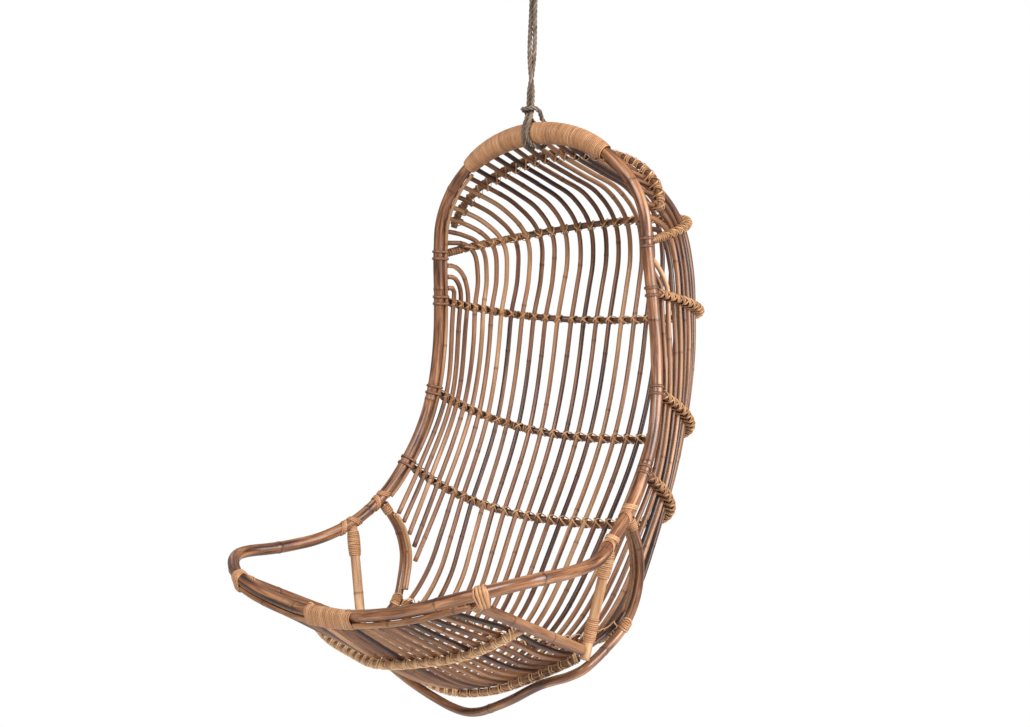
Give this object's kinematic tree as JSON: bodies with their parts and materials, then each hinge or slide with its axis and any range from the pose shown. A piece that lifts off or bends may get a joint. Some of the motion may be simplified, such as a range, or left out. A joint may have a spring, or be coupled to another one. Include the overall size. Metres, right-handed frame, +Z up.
{
  "type": "hanging egg chair",
  "caption": "Egg-shaped hanging chair of bent rattan poles and canes, hung by a doubled rope from a ceiling ring; it swings and turns.",
  "frame": {"origin": "centre of the ceiling plate's top face, where it meets the ceiling", "axes": "+Z up, into the ceiling; the sitter looks along -Y; +X is the sitter's left, and the chair is mirrored about X = 0; left and right in the names are as seen from the front, so right is at +X"},
  "size_m": [0.8531, 0.9436, 1.6723],
  "materials": {
    "steel": "satin",
    "rope": "matte",
    "twine": "matte",
    "pole": "satin",
    "hoops": "satin",
    "ribs": "satin",
    "post": "satin",
    "front_poles": "satin",
    "wrap": "satin",
    "peel": "satin",
    "padding": "matte"
  },
  "bodies": {
    "ceiling": {"ceiling_plate": "steel", "ceiling_ring": "steel"},
    "hook": {"s_hook": "steel"},
    "rope": {"rope_fall": "rope", "rope_seizing": "twine"},
    "chair": {"arc_collars": "peel", "arc_companions": "ribs", "arch_padding": "padding", "arch_wrap": "wrap", "arm_post_left": "post", "arm_post_right": "post", "base_loop": "pole", "front_brace_left": "front_poles", "front_brace_right": "front_poles", "front_cane": "front_poles", "front_wraps": "wrap", "hoop_1": "hoops", "hoop_1_lashing": "peel", "hoop_2": "hoops", "hoop_2_lashing": "peel", "hoop_3": "hoops", "hoop_3_lashing": "peel", "hoop_4": "hoops", "hoop_4_lashing": "peel", "hoop_5": "hoops", "hoop_5_lashing": "peel", "hoop_end_bands": "peel", "post_wraps": "peel", "rib_00": "ribs", "rib_01": "ribs", "rib_02": "ribs", "rib_03": "ribs", "rib_04": "ribs", "rib_05": "ribs", "rib_06": "ribs", "rib_07": "ribs", "rib_08": "ribs", "rib_09": "ribs", "rib_10": "ribs", "rib_11": "ribs", "rib_12": "ribs", "rib_13": "ribs", "rib_14": "ribs", "rib_15": "ribs", "rib_16": "ribs", "rib_17": "ribs", "rim_liner": "ribs", "rim_pole": "pole", "rim_ties": "peel", "rope_hitch": "rope", "seat_hoop_front": "hoops", "seat_hoop_front_lashing": "peel", "seat_hoop_middle": "hoops", "seat_hoop_middle_lashing": "peel", "seat_hoop_rear": "hoops", "seat_hoop_rear_lashing": "peel"}
  },
  "joints": [
    {"name": "swing_fore_aft", "type": "hinge", "parent": "ceiling", "child": "hook", "pos_m": [0, 0, -0.047], "axis": [1, 0, 0], "range_deg": [-25, 25]},
    {"name": "swing_sideways", "type": "hinge", "parent": "hook", "child": "rope", "pos_m": [0, 0, -0.1067], "axis": [0, 1, 0], "range_deg": [-15, 15]},
    {"name": "spin", "type": "hinge", "parent": "rope", "child": "chair", "pos_m": [0, 0, -0.374], "axis": [0, 0, 1], "range_deg": [-180, 180]}
  ]
}
